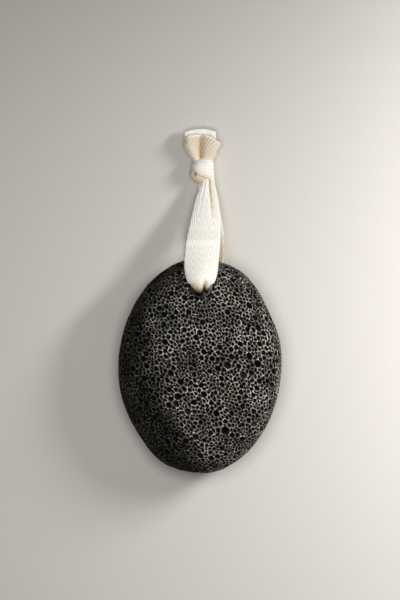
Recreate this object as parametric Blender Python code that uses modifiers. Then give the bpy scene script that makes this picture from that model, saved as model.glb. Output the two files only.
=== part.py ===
"""Pumice foot stone with a loop of cotton tape.

The stone lies on its flat underside. +Z is up and +Y runs along the stone towards
its drilled end. The origin is on the surface it lies on, under the stone's middle.
Blender's lengths are metres; the dimensions here are written in millimetres times MM.
"""

import math
import random

import bmesh
import bpy
import numpy as np
from mathutils import Euler, Matrix, Vector

MM = 0.001
SEED = 11

# Stone: a flattened egg, worn smooth over a foam of pores
HALF_WIDTH = 37.3 * MM
HALF_LENGTH = 49.7 * MM
HALF_THICKNESS = 18.0 * MM
FULLNESS = 2.3                       # 2 is a plain ellipsoid, more is fuller in section
LEAN = math.radians(-3.4)            # the long axis leans a little off +Y
REST_DEPTH = 0.55 * MM               # how much of the underside is worn flat
# Worn places: direction from the middle, depth, and how wide they spread (in radians)
WORN_PLACES = (
    (Vector((0.10, 1.00, 0.0)), 0.9 * MM, 0.24),
    (Vector((-0.07, -1.00, 0.0)), 1.0 * MM, 0.20),
    (Vector((-0.64, -0.77, 0.0)), 1.8 * MM, 0.30),
    (Vector((0.70, 0.71, 0.0)), 1.7 * MM, 0.22),
)

# Pores: mouth radius and the number of tries at each size, the largest first
PORE_TRIES = (
    (2.6 * MM, 60),
    (2.0 * MM, 700),
    (1.5 * MM, 8000),
    (1.15 * MM, 30000),
)
PORE_STEEPNESS = 0.95                # pore depth over mouth radius

# Drilled hole for the tape
HOLE_RADIUS = 5.25 * MM
HOLE_X = 0.5 * MM
HOLE_Y = 36.7 * MM
HOLE_SIDES = 20

# Cotton tape
TAPE_THICKNESS = 1.2 * MM
TAPE_WIDTH = 15.0 * MM
# The strand's middle line in mm: x, y, z, then width over the tape's width, then how far
# the edges curl inwards (half angle in radians). It runs from the knot over the stone's
# end into the hole, down through it, and back under the stone to the knot.
STRAND = (
    (2.6, 90.0, 7.6, 0.42, 0.30),
    (3.3, 84.5, 8.6, 0.46, 0.40),
    (3.2, 77.0, 11.4, 0.66, 0.35),
    (2.6, 68.0, 16.0, 0.88, 0.25),
    (1.5, 58.0, 22.2, 1.00, 0.20),
    (0.7, 50.5, 27.4, 1.02, 0.25),
    (0.5, 45.3, 31.4, 1.00, 0.45),
    (0.5, 41.2, 34.0, 0.93, 0.75),
    (0.5, 37.2, 34.7, 0.84, 1.05),
    (0.5, 34.2, 32.4, 0.77, 1.40),
    (0.5, 33.0, 28.6, 0.76, 1.50),
    (0.5, 32.8, 23.0, 0.76, 1.50),
    (0.5, 32.8, 13.0, 0.76, 1.50),
    (0.5, 32.9, 7.0, 0.76, 1.50),
    (0.5, 34.0, 3.0, 0.74, 1.35),
    (0.5, 37.0, 1.4, 0.80, 0.65),
    (1.2, 41.2, 1.1, 0.93, 0.35),
    (3.4, 50.0, 1.4, 1.00, 0.20),
    (3.6, 62.0, 2.2, 0.92, 0.20),
    (3.4, 74.0, 2.8, 0.68, 0.25),
    (3.0, 84.0, 3.9, 0.46, 0.30),
    (2.2, 90.0, 4.4, 0.42, 0.30),
)
STRAND_STEPS = 44
STRAND_SPANS = 6
SLOPE_STEP = 0.004                   # how far along the strand its slope is read

# Knot: a rounded lump with the tape's last turn wrapped slantwise round it
KNOT_CENTRE = Vector((0.7, 90.3, 5.35)) * MM
KNOT_RADII = Vector((5.0, 5.9, 5.2)) * MM
WRAP_RADIUS = 4.1 * MM
WRAP_HALF_THICKNESS = 1.1 * MM
WRAP_STRETCH = 2.6                   # the wrap's width over its thickness
WRAP_CENTRE = Vector((1.3, 91.6, 5.6)) * MM
WRAP_TURN = Euler((math.radians(68), math.radians(12), math.radians(-38)))

# Cut ends above the knot, in mm: root left and right, tip left, middle and right
FRONT_END = ((-2.6, 94.6, 7.4), (5.4, 95.2, 7.4), (-6.3, 106.9, 8.0), (1.4, 107.2, 9.6), (9.4, 103.2, 7.6))
BACK_END = ((-2.4, 94.6, 3.8), (4.6, 95.2, 3.8), (-7.0, 108.7, 3.6), (1.0, 109.6, 5.2), (7.2, 108.2, 3.4))
END_STEPS = 6
END_SPANS = 8
PLEAT_DEPTH = 1.1 * MM
PLEATS = 3                           # valleys and ridges from the middle to an edge


def clear_scene():
    for item in list(bpy.data.objects):
        bpy.data.objects.remove(item, do_unlink=True)


def new_collection(name):
    group = bpy.data.collections.new(name)
    bpy.context.scene.collection.children.link(group)
    return group


def new_material(name, colour, roughness):
    material = bpy.data.materials.new(name)
    material.use_nodes = True
    shader = material.node_tree.nodes["Principled BSDF"]
    shader.inputs["Base Color"].default_value = (*colour, 1.0)
    shader.inputs["Roughness"].default_value = roughness
    shader.inputs["Metallic"].default_value = 0.0
    return material


def object_from(bm, name, group):
    """Turn a bmesh into a named object in the given collection."""
    mesh = bpy.data.meshes.new(name)
    bm.to_mesh(mesh)
    bm.free()
    item = bpy.data.objects.new(name, mesh)
    group.objects.link(item)
    return item


def shade_round(item, sharp_angle=math.radians(50)):
    """Smooth shading that keeps edges sharper than the given angle."""
    item.data.shade_smooth()
    item.data.set_sharp_from_angle(angle=sharp_angle)


def hide_tool(item):
    """Mark an object as a cutter or joining body, not part of the model."""
    item.hide_render = True
    item.display_type = "WIRE"


def add_boolean(item, operand, operation):
    step = item.modifiers.new(operand.name, "BOOLEAN")
    step.operation = operation
    step.object = operand
    step.solver = "EXACT"


# ---------------------------------------------------------------- stone

def skin_point(direction):
    """Where a ray from the stone's middle meets its smooth outer form."""
    flat = math.hypot(direction.x / HALF_WIDTH, direction.y / HALF_LENGTH)
    high = abs(direction.z) / HALF_THICKNESS
    reach = (flat ** FULLNESS + high ** FULLNESS) ** (-1.0 / FULLNESS)
    return direction * reach


def worn_point(point):
    """Move a point of the smooth form inwards where the stone is worn."""
    away = point.normalized()
    for place, depth, spread in WORN_PLACES:
        angle = away.angle(place)
        point = point - away * depth * math.exp(-(angle / spread) ** 2)
    return point


def random_direction(rng):
    while True:
        spot = Vector((rng.uniform(-1, 1), rng.uniform(-1, 1), rng.uniform(-1, 1)))
        if 0.01 < spot.length < 1.0:
            return spot.normalized()


def scatter_pores():
    """Pore centres, thrown at random and kept where the mouths don't overlap."""
    rng = random.Random(SEED)
    centres = np.zeros((0, 3))
    radii = np.zeros(0)
    for radius, tries in PORE_TRIES:
        for _ in range(tries):
            spot = np.array(skin_point(random_direction(rng)))
            room = np.linalg.norm(centres - spot, axis=1) - radii
            if len(room) == 0 or room.min() > radius:
                centres = np.vstack((centres, spot))
                radii = np.append(radii, radius)
    return centres


def pore_walls(centres):
    """Cells round the pore centres, whose shared edges are the walls between pores."""
    hull = bmesh.new()
    for centre in centres:
        hull.verts.new(centre)
    bmesh.ops.convex_hull(hull, input=hull.verts)
    bmesh.ops.triangulate(hull, faces=hull.faces)
    hull.faces.index_update()
    cells = bmesh.new()
    corners = []
    for face in hull.faces:
        outward = face.calc_center_median().normalized()
        corners.append(cells.verts.new(worn_point(skin_point(outward))))
    for vertex in hull.verts:
        if vertex.link_loops:
            cells.faces.new([corners[index] for index in faces_round(vertex)])
    hull.free()
    bmesh.ops.recalc_face_normals(cells, faces=cells.faces)
    return cells


def faces_round(vertex):
    """Indices of the faces round a vertex, in order."""
    first = vertex.link_loops[0]
    loop = first
    order = []
    while True:
        order.append(loop.face.index)
        loop = loop.link_loop_prev.link_loop_radial_next
        if loop == first:
            return order


def flatten_underside(cells):
    """Wear the lowest cells down to one flat face, on which the stone rests."""
    rest_height = -HALF_THICKNESS + REST_DEPTH
    low = [face for face in cells.faces if face.calc_center_median().z < rest_height]
    for vertex in {vertex for face in low for vertex in face.verts}:
        vertex.co.z = rest_height
    for vertex in cells.verts:
        vertex.co.z = max(vertex.co.z, rest_height)
    flat = bmesh.ops.dissolve_faces(cells, faces=low, use_verts=True)["region"]
    return flat[0]


def build_stone(group, tools):
    cells = pore_walls(scatter_pores())
    rest_face = flatten_underside(cells)
    pores = [face for face in cells.faces if face is not rest_face]
    bmesh.ops.poke(cells, faces=pores, offset=-PORE_STEEPNESS, use_relative_offset=True)
    turn = Matrix.Rotation(LEAN, 4, "Z")
    lift = Matrix.Translation((0.0, 0.0, HALF_THICKNESS - REST_DEPTH))
    bmesh.ops.transform(cells, matrix=lift @ turn, verts=cells.verts)
    stone = object_from(cells, "pumice_stone", group)
    stone.data.materials.append(new_material("dark_pumice", (0.045, 0.041, 0.036), 0.92))
    add_boolean(stone, build_drill(tools), "DIFFERENCE")
    return stone


def build_drill(tools):
    bm = bmesh.new()
    bmesh.ops.create_cone(
        bm, cap_ends=True, segments=HOLE_SIDES, radius1=HOLE_RADIUS, radius2=HOLE_RADIUS,
        depth=4 * HALF_THICKNESS, matrix=Matrix.Translation((HOLE_X, HOLE_Y, HALF_THICKNESS)))
    drill = object_from(bm, "drill", tools)
    hide_tool(drill)
    return drill


# ---------------------------------------------------------------- tape

def smooth_row(rows, place):
    """A row of values at a place from 0 to 1 along rows, by a Catmull-Rom curve."""
    span = place * (len(rows) - 1)
    index = min(int(span), len(rows) - 2)
    step = span - index
    before = rows[max(index - 1, 0)]
    start = rows[index]
    end = rows[index + 1]
    after = rows[min(index + 2, len(rows) - 1)]
    return 0.5 * (2 * start + (end - before) * step
                  + (2 * before - 5 * start + 4 * end - after) * step ** 2
                  + (3 * start - before - 3 * end + after) * step ** 3)


def strand_point(rows, along, across):
    """A point of the strand: along from 0 to 1, across from -1 to 1."""
    x, y, z, width, curl = smooth_row(rows, along)
    behind = smooth_row(rows, max(along - SLOPE_STEP, 0.0))
    ahead = smooth_row(rows, min(along + SLOPE_STEP, 1.0))
    run = Vector((0.0, ahead[1] - behind[1], ahead[2] - behind[2])).normalized()
    inward = Vector((1.0, 0.0, 0.0)).cross(run)
    half = 0.5 * width * TAPE_WIDTH
    angle = across * curl
    sideways = half * math.sin(angle) / curl
    dip = half * (1.0 - math.cos(angle)) / curl
    return Vector((x, y, z)) * MM + Vector((sideways, 0.0, 0.0)) + inward * dip


def ribbon(name, steps, spans, place, group):
    """A strip of tape: a grid whose points are put where place(along, across) says."""
    bm = bmesh.new()
    bmesh.ops.create_grid(bm, x_segments=steps, y_segments=spans, size=1.0)
    for vertex in bm.verts:
        vertex.co = place(0.5 * (vertex.co.x + 1.0), vertex.co.y)
    strip = object_from(bm, name, group)
    shade_round(strip)
    shell = strip.modifiers.new("thickness", "SOLIDIFY")
    shell.thickness = TAPE_THICKNESS
    shell.offset = 0.0
    return strip


def end_point(shape, along, across):
    """A point of a cut end, which fans out from the knot and is pleated."""
    root_left, root_right, tip_left, tip_middle, tip_right = (Vector(corner) * MM for corner in shape)
    side = 0.5 * (across + 1.0)
    root = root_left.lerp(root_right, side)
    control = 2.0 * tip_middle - 0.5 * (tip_left + tip_right)
    tip = tip_left * (1 - side) ** 2 + control * 2 * side * (1 - side) + tip_right * side ** 2
    point = root.lerp(tip, along)
    point.z += PLEAT_DEPTH * along * (1 - 0.4 * along) * math.cos(PLEATS * math.pi * across)
    return point


def build_knot(tools):
    bm = bmesh.new()
    shape = Matrix.LocRotScale(KNOT_CENTRE, None, KNOT_RADII)
    bmesh.ops.create_uvsphere(bm, u_segments=18, v_segments=12, radius=1.0, matrix=shape)
    knot = object_from(bm, "knot_lump", tools)
    shade_round(knot)
    hide_tool(knot)
    return knot


def build_wrap(tools):
    bpy.ops.mesh.primitive_torus_add(
        major_segments=24, minor_segments=8,
        major_radius=WRAP_RADIUS, minor_radius=WRAP_HALF_THICKNESS)
    wrap = bpy.context.object
    wrap.name = "knot_wrap"
    stretch = Matrix.Diagonal((1.0, 1.0, WRAP_STRETCH, 1.0))
    wrap.data.transform(Matrix.Translation(WRAP_CENTRE) @ WRAP_TURN.to_matrix().to_4x4() @ stretch)
    for group in list(wrap.users_collection):
        group.objects.unlink(wrap)
    tools.objects.link(wrap)
    shade_round(wrap)
    hide_tool(wrap)
    return wrap


def build_tape(group, tools):
    rows = np.array(STRAND)
    tape = ribbon("cotton_tape", STRAND_STEPS, STRAND_SPANS,
                  lambda along, across: strand_point(rows, along, across), group)
    tape.data.materials.append(new_material("cotton", (0.82, 0.77, 0.67), 0.95))
    add_boolean(tape, build_knot(tools), "UNION")
    add_boolean(tape, build_wrap(tools), "UNION")
    for name, shape in (("front_end", FRONT_END), ("back_end", BACK_END)):
        cut_end = ribbon(name, END_STEPS, END_SPANS,
                         lambda along, across, shape=shape: end_point(shape, along, across), tools)
        hide_tool(cut_end)
        add_boolean(tape, cut_end, "UNION")
    return tape


def main():
    clear_scene()
    model = new_collection("pumice_stone_with_tape")
    tools = new_collection("cutters")
    build_stone(model, tools)
    build_tape(model, tools)


main()
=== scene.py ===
import math

import bmesh
import bpy
import numpy as np
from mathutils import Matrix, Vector
from mathutils import noise as noise_tools


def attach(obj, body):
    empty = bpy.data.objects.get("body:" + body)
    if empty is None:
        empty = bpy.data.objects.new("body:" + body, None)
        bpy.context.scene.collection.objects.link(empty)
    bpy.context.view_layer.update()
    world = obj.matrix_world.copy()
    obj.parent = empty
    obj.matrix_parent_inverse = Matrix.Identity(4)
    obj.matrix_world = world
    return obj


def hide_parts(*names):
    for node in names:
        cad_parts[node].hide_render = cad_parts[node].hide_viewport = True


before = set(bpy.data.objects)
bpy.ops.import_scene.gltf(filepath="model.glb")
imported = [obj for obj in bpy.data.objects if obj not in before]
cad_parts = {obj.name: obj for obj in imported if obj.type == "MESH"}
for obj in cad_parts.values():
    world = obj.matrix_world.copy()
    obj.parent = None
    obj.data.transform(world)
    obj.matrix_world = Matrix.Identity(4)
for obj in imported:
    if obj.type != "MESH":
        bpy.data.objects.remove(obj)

MM = 0.001
SEED = 7

# ---- camera: straight down, a long lens, the photograph's frame of 400 x 600 pixels
PIXEL = 0.46 * MM  # one pixel at the height of the stone's outline
IMAGE_MIDDLE = (200.0, 300.0)
ORIGIN_PIXEL = (200.0, 366.0)
IMAGE_LONG_SIDE = 600
CAMERA_HEIGHT = 1.2
OUTLINE_HEIGHT = 17.5 * MM
SENSOR = 36.0

# ---- stone, as it is in the model
HALF_SIZE = np.array((37.3, 49.7, 18.0)) * MM
FULLNESS = 2.3  # 2 would be an ellipsoid
LEAN = math.radians(-3.4)
REST_DEPTH = 0.55 * MM
WORN_PLACES = (  # direction, depth, spread in radians
    ((0.10, 1.00, 0.0), 0.9 * MM, 0.24),
    ((-0.07, -1.00, 0.0), 1.0 * MM, 0.20),
    ((-0.64, -0.77, 0.0), 1.6 * MM, 0.34),
    ((0.70, 0.71, 0.0), 1.4 * MM, 0.30),
)
# From the stone's own frame, with its middle at the origin, to the part's
STONE_TURN = np.array((
    (math.cos(LEAN), math.sin(LEAN), 0.0), (-math.sin(LEAN), math.cos(LEAN), 0.0), (0.0, 0.0, 1.0)))
STONE_LIFT = np.array((0.0, 0.0, HALF_SIZE[2] - REST_DEPTH))
TINY = 1e-9
HOLE_RADIUS = 5.25 * MM
HOLE_PLACE = (0.5 * MM, 36.7 * MM)
OWN_HOLE_PLACE = (STONE_TURN @ (*HOLE_PLACE, 0.0))[:2]  # in the stone's own frame

# ---- pores
# Radius of the room a pore takes, in mm, and how many are tried
PORE_TRIES = ((1.38, 140), (1.10, 600), (0.84, 2500), (0.58, 8000), (0.385, 24000))
PORE_STRETCH = 1.28  # pores are longer along this line
PORE_LINE = np.array((1.0, -1.0, 0.0)) / math.sqrt(2.0)
ROOM_SPREAD = 0.08  # how far a pore's room varies within its size
HOLE_ROOM = 5.45 * MM
FLIP_PASSES = 12
FLIP_SLACK = 1e-4
CORNER_EVENING = 0.35  # how far a wall's corner moves to the middle of its three pores
HOLE_CELLS = 2  # the first two pores are the drilled hole's mouths
HOLE_CLEARANCE = 0.30 * MM
# Pits that stand out: pixel, room in mm, depth over radius, tone of the floor, dark as painted shade
BIG_PITS = (
    (227.0, 364.0, 1.65, 0.75, 0.12),
    (243.0, 374.0, 1.65, 0.45, 0.24),
    (249.0, 356.0, 1.45, 1.30, 0.0),
    (257.0, 363.0, 1.6, 1.40, 0.0),
    (225.0, 429.0, 2.0, 1.10, 0.05),
    (169.0, 404.0, 1.25, 0.70, 0.12),
    (216.0, 412.0, 1.4, 1.20, 0.0),
    (194.0, 401.0, 1.25, 1.30, 0.0),
)
# Crests of the walls, in mm. Here and below, a pair of values is the range of a random one
CREST_RISE = 0.40  # how far the highest crests stand over the form
CORNER_CHIP, WALL_CHIP = 0.06, 0.12  # usual chips at the corners and along the walls
MOST_CHIP = 0.45
BROKEN_SHARE = 0.09  # walls broken down
BROKEN_DROP = (0.4, 0.9)
SWELL = 0.14  # slow rise and fall of the crests
SWELL_LENGTHS = (5.0 * MM, 14.0 * MM)
HOLE_EDGE_DROP = (0.05, 0.15)
# Mouths of the pores
WALL = 0.13 * MM  # half of a wall's thickness
WALL_VARIES = (0.6, 1.4)
LEAST_MOUTH = 0.35  # share of the way out to the wall
ROUNDING = 0.75  # how far a pore's corners are rounded off
MOUTH_SHARE, MOUTH_UNEVEN = (0.84, 1.0), (0.94, 1.0)
RIM_DROP = (0.02, 0.12)  # mm
WIDE_ROOM = 0.95 * MM  # pores with more room get twice the points round them
# Floors of the pores: depths over the mouth's radius, and tones; the deeper floors are darker as painted
# shade
SHALLOW_SHARE = 0.07  # pores worn nearly away
DEEP_FLOOR, DEEP_TONE = (0.9, 1.4), (0.0, 0.08)
SHALLOW_FLOOR, SHALLOW_TONE = (0.25, 0.6), (0.10, 0.35)
FLOOR_LEAN = 0.16  # how far a floor is off its mouth's middle
FLOOR_WIDTH, FOOT_UNEVEN = (0.62, 0.90), (0.90, 1.08)
FOOT_DEPTH, BED_DEPTH = (0.62, 0.86), (1.0, 1.2)
# Tones, from 0 for the darkest to 1 for the palest. Crests vary at random; sunk walls, rims, feet and floors
# are darker as painted shade
CORNER_TONE, WALL_TONE = (0.80, 1.15), (0.40, 1.0)
HOLE_EDGE_TONE = 0.6  # tone of the walls round the drilled hole, over others: painted shade
SUNK_DARKENS = 0.8  # painted shade on sunk walls, for each mm that a wall is sunk
CREST_TONE_LIMITS, RIM_TONE_LIMITS = (0.20, 1.0), (0.10, 1.0)
RIM_TONE = 0.55  # tone of a rim over its wall's, darker as painted shade
FOOT_TONE, FOOT_FOLLOWS = 0.08, 0.8  # tone of a floor's edge, dark as painted shade, and how far it follows the floor's
# Specks of another mineral: pixel, radius, colour
SPECKS = (
    (217.0, 281.0, 0.7 * MM, (0.21, 0.078, 0.045)),
    (155.0, 341.0, 0.9 * MM, (0.13, 0.060, 0.032)),
    (172.0, 396.0, 0.6 * MM, (0.15, 0.070, 0.035)),
    (227.0, 303.0, 1.0 * MM, (0.42, 0.34, 0.20)),
    (231.0, 396.0, 1.2 * MM, (0.20, 0.155, 0.075)),
)
# Painted shade: beyond this line of pixels, from bottom to top, the stone's lower left side, turned from the
# key lamp, is darker
SHADE_EDGE = ((203.0, 468.0), (180.0, 430.0), (164.0, 400.0), (150.0, 370.0), (148.0, 320.0),
                (160.0, 290.0), (186.0, 262.0))
SHADE_EDGE_WOBBLE = 1.2 * MM
SHADE_EDGE_WOBBLE_LENGTHS = (6.0 * MM, 16.0 * MM)
SHADE_EDGE_SOFTNESS = 8.0 * MM
SHADED_SIDE_SHARE = 0.62  # painted shade: tone of the walls beyond that line
HOLE_RIM_TONE = 0.02  # painted shade: the tone of the drilled hole's own edge
BORE_COLUMNS = 60
BORE_ROWS = 34
BORE_PORE = 1.9 * MM
BORE_PIT_WIDTH = 0.55  # over the distance between the pits
BORE_PIT_DEPTH = 0.13  # over the hole's radius
# Painted shade: the hole's wall is near black, and darker still in its pits
BORE_TONE = 0.04
# The stone's skin as a flat map for baking: two discs, and the hole's wall
SKIN_REACH = np.array((45.0, 56.0)) * MM
SKIN_SHEET = 196.0 * MM
SKIN_MARGIN = 4.0 * MM
TOP_DISC, LOW_DISC = 0.25, 0.75  # where the discs' middles are along the map
BORE_CORNER = np.array((30.0, 150.0)) * MM

# ---- cotton tape; all its lengths are in mm
TAPE_WIDTH = 15.0
TAPE_THICKNESS = 0.9
GRID_STEP = 0.5
# The strand's middle line: x, y, z, then width over the tape's width, then how far the
# edges curl inwards (half angle in radians); from the knot over the stone's end, down the
# hole and back under the stone
STRAND = (
    (4.2, 90.0, 7.4, 0.25, 0.30),
    (3.8, 84.5, 8.2, 0.38, 0.40),
    (3.2, 77.0, 10.2, 0.67, 0.35),
    (2.6, 68.0, 14.6, 0.88, 0.25),
    (1.5, 58.0, 20.0, 1.00, 0.20),
    (0.7, 50.5, 25.2, 1.02, 0.25),
    (0.5, 45.3, 29.6, 1.00, 0.45),
    (0.5, 41.6, 32.5, 0.93, 0.65),
    (0.5, 38.8, 33.5, 0.87, 0.85),
    (0.5, 36.4, 33.0, 0.80, 1.10),
    (0.4, 34.2, 30.6, 0.76, 1.36),
    (0.4, 33.1, 26.6, 0.73, 1.50),
    (0.4, 32.8, 20.0, 0.72, 1.50),
    (0.4, 32.8, 12.0, 0.72, 1.50),
    (0.5, 33.2, 6.5, 0.72, 1.50),
    (0.5, 35.0, 3.0, 0.72, 1.35),
    (0.5, 38.2, 1.4, 0.80, 0.65),
    (1.2, 42.2, 1.1, 0.93, 0.35),
    (3.4, 50.0, 1.4, 1.00, 0.20),
    (3.6, 62.0, 2.2, 0.92, 0.20),
    (3.4, 74.0, 2.8, 0.68, 0.25),
    (3.0, 84.0, 3.9, 0.46, 0.30),
    (2.2, 90.0, 4.4, 0.42, 0.30),
)
STRAND_LENGTH = 149.0
SLOPE_STEP = 0.004
FRONT_SHARE = 0.55  # the share of its rows that is the front strand, down into the hole
GATHER_FROM, GATHER_TO = 66.0, 87.0  # y, where the strand is flat, and gathered at the knot
GATHER_DEPTH = 1.3
VALLEY_PLACE, VALLEY_DRIFT, VALLEY_WIDTH = 0.48, 0.40, 0.16  # its deepest fold, across the tape
RIDGE_HEIGHT, RIDGE_TURNS, RIDGE_START = 0.35, 2.5, 0.6  # small folds across the gathered part
# Painted warm shade in that fold: its strength, place and width across the tape
VALLEY_SHADE, VALLEY_SHADE_PLACE, VALLEY_SHADE_WIDTH = 1.3, 0.16, 0.25
BACK_SHADOW_FROM, BACK_SHADOW_TO = 64.0, 54.0  # y, where the strand behind turns tan, as painted shadow of the front strand
CREASE_FROM, CREASE_TO = 41.5, 36.5  # y, where a lengthwise crease grows, at the hole
# The crease's depth, place and width across the tape, and its painted warm shade
CREASE_DEPTH, CREASE_PLACE, CREASE_WIDTH, CREASE_SHADE = 2.4, 0.24, 0.16, 0.5
KINK_HEIGHT = 0.85  # a soft kink across the strand
KINK_RISE, KINK_FALL = (54.6, 57.3), (57.3, 62.5)
# Near-black painted shade on the tape going down into the hole
HOLE_SHADE_COLOUR = (0.010, 0.007, 0.004)
HOLE_SHADE_FROM, HOLE_SHADE_TO = 37.8, 33.0  # y, where painted shade darkens the tape in the mouth of the hole
# Cut ends above the knot. Each row goes from the left edge to the right edge, and the
# three blocks are the root in the knot, the middle and the tip: x, y, z, share of tan, the painted warm shade
FRONT_END = (
    ((-2.4, 94.2, 5.0, 0.6), (-1.6, 94.6, 7.4, 0.5), (-0.6, 94.8, 6.8, 0.8), (0.5, 94.8, 5.2, 1.25),
     (2.0, 95.2, 7.4, 0.8), (3.8, 95.2, 7.4, 0.8), (5.8, 94.8, 6.6, 0.7)),
    ((-7.0, 100.2, 6.2, 1.0), (-5.4, 101.0, 8.6, 0.75), (-2.6, 101.5, 8.4, 0.85), (0.2, 101.6, 5.9, 1.2),
     (2.4, 101.6, 8.2, 0.9), (5.2, 101.2, 8.8, 0.8), (8.0, 100.2, 8.2, 0.6)),
    ((-7.0, 105.0, 6.8, 1.0), (-5.6, 106.2, 8.8, 0.75), (-3.0, 106.9, 8.8, 0.85), (0.0, 107.1, 7.3, 1.15),
     (2.9, 106.8, 8.8, 0.8), (6.0, 105.4, 9.2, 0.85), (9.4, 103.0, 8.6, 0.5)),
)
BACK_END = (
    ((-2.4, 94.4, 3.2, 0.3), (-1.2, 94.6, 4.2, 0.2), (0.4, 94.8, 3.0, 0.6), (2.0, 95.0, 4.2, 0.2),
     (3.0, 95.0, 3.2, 0.6), (4.2, 95.0, 4.0, 0.2), (5.0, 94.8, 3.2, 0.3)),
    ((-6.2, 101.6, 4.0, 0.3), (-4.4, 102.0, 4.5, 0.3), (-1.6, 102.2, 4.2, 0.3), (1.0, 102.2, 4.6, 0.3),
     (3.4, 102.2, 4.3, 0.3), (5.4, 102.0, 4.5, 0.3), (6.6, 101.6, 4.2, 0.3)),
    ((-7.0, 108.4, 6.0, 0.2), (-5.0, 109.1, 6.2, 0.2), (-2.2, 109.6, 6.1, 0.2), (0.6, 109.8, 6.3, 0.2),
     (3.2, 109.6, 6.2, 0.2), (5.8, 109.0, 6.2, 0.2), (7.2, 108.6, 5.9, 0.2)),
)
# Where a rib column turns back on each end: places across the tape, and their place in the column
FRONT_COLUMNS = ((-1.0, -0.72, 0.0, 1.0), (2.1, 0.0, 5.4, -2.1))
BACK_COLUMNS = ((-1.0, -0.2, 1.0), (0.0, 6.0, -3.0))
END_LENGTH = 14.5
TIP_FADE = (0.82, 0.94)  # along an end, where its painted shade fades out, so the tip's edge shows bright
MOST_SHADE = 1.3
FRAY, FRAY_PITCH, FRAY_POWER = 0.30, 1.1, 8  # how the yarns stand out of a cut edge
# Knot: its outline from above, anticlockwise, and the lower edge of the turn wrapped
# round it, which stands over the turn at its lower left
KNOT_OUTLINE = ((6.3, 87.4), (6.1, 91.0), (6.0, 95.0), (4.8, 96.3), (0.6, 96.3), (-2.6, 94.6), (-4.0, 91.8),
                (-4.7, 89.4), (-4.6, 87.5), (-3.5, 85.8), (-1.4, 84.6), (1.2, 84.5), (4.2, 85.4))
KNOT_MIDDLE = (0.9, 90.4, 5.3)
KNOT_HALF_HEIGHT = 5.0
KNOT_EDGE = ((-5.0, 91.6), (-2.8, 89.8), (-0.4, 88.2), (2.8, 86.8), (7.0, 86.0))
KNOT_EDGE_WIDTH = 0.35  # half of the width of that edge's step
KNOT_STEP = 0.2
KNOT_UPPER = (-1.0, 1.5)  # heights over the knot's middle where its upper side begins
KNOT_GROOVE, KNOT_GROOVE_WIDTH = 0.2, 0.5
KNOT_GAP, KNOT_GAP_DEPTH, KNOT_GAP_WIDTH = (-2.7, 88.4), 1.5, 0.7
KNOT_SHADE = (-1.0, 3.5)  # from the edge, where the knot's painted shade fades out
KNOT_PAINTED_SHADES = (0.9, 0.2, 0.7)  # painted warm shade on the lower turn, in the groove and in the gap
KNOT_FAN, KNOT_ROWS, KNOT_TILT = 98.0, 9.0, 0.02  # the ribs' fan: y of its end, weave up to there, lean
KNOT_ROUNDNESS = 0.8
KNOT_RINGS, KNOT_COLUMNS = 60, 90
KNOT_DISC = 8.0  # half the knot's size on the flat map
KNOT_RIBS = 0.95  # how strongly the ribs show on the tight knot
FRONT_RIBS = 1.10
BACK_RIBS = 0.70
# Weave: herringbone columns, the ribs' pitch and their angle to the tape's length
COLUMN_WIDTH = 3.75
RIB_PITCH = 1.08
RIB_ANGLE = math.radians(15.0)
STITCH = 1.00  # pitch of the dots along the furrows
# The tape's flat map for baking, square, and the corners of the parts on it
COTTON_SHEET = 108.0
STRAND_CORNERS = ((2.0, 2.0), (2.0, 37.0))
FRONT_CORNERS, BACK_CORNERS = ((2.0, 72.0),), ((22.0, 72.0),)
KNOT_MIDDLES = ((52.0, 82.0), (72.0, 82.0))

# ---- colours: places on a ramp from dark to pale, and linear red, green and blue
STONE_RAMP = ((0.0, (0.0018, 0.0014, 0.0009)), (0.30, (0.014, 0.0123, 0.0090)),
              (0.62, (0.130, 0.122, 0.103)), (0.95, (0.80, 0.78, 0.735)))
CREAM_RAMP = ((0.0, (0.68, 0.60, 0.47)), (0.4, (0.895, 0.855, 0.765)), (1.0, (0.96, 0.935, 0.870)))
# Warm colour of the tape in painted shade
WARM_SHADE_RAMP = ((0.0, (0.56, 0.37, 0.20)), (0.4, (0.69, 0.53, 0.37)), (1.0, (0.78, 0.66, 0.50)))
FLOOR_RAMP = ((0.3, (0.620, 0.588, 0.545)), (0.7, (0.644, 0.612, 0.567)))
SPECK_STRENGTH, SPECK_FOLLOWS = 0.8, 1.6  # most of a speck's colour, and less of it in the pores

# ---- lamps: place, the point it faces, size and power
KEY_LAMP = ((0.337, 0.172, 0.255), (0.463, -0.119, 0.0), 0.210, 3.94)
FILL_LAMP = ((-0.02, 0.02, 0.426), (0.0, 0.01, 0.0), 0.22, 1.00)
ROOM_LIGHT = 0.080
FLOOR_REACH = 2.0


def pixel_place(column, row):
    """World x and y, in metres, of a pixel of the photograph."""
    return ((column - ORIGIN_PIXEL[0]) * PIXEL, (ORIGIN_PIXEL[1] - row) * PIXEL)


def unit(vectors):
    return vectors / np.linalg.norm(vectors, axis=-1, keepdims=True)


def smooth_step(value, low, high):
    share = np.clip((value - low) / (high - low), 0.0, 1.0)
    return share * share * (3.0 - 2.0 * share)


def bell(value, middle, width):
    return np.exp(-((value - middle) / width) ** 2)


def tube_quads(index):
    """Quads between the rows of a grid of vertex numbers, each row a closed ring."""
    beside = np.roll(index, -1, axis=1)
    return np.stack((index[:-1], beside[:-1], beside[1:], index[1:]), axis=-1).reshape(-1, 4)


def add_object(name, data):
    item = bpy.data.objects.new(name, data)
    bpy.context.scene.collection.objects.link(item)
    return item


# ================================================================ stone form

def skin(points):
    """The points moved along their rays from the middle onto the smooth outer form."""
    scaled = points / HALF_SIZE
    flat = np.hypot(scaled[:, 0], scaled[:, 1])
    high = np.abs(scaled[:, 2])
    reach = (flat ** FULLNESS + high ** FULLNESS) ** (-1.0 / FULLNESS)
    return points * reach[:, None]


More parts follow.
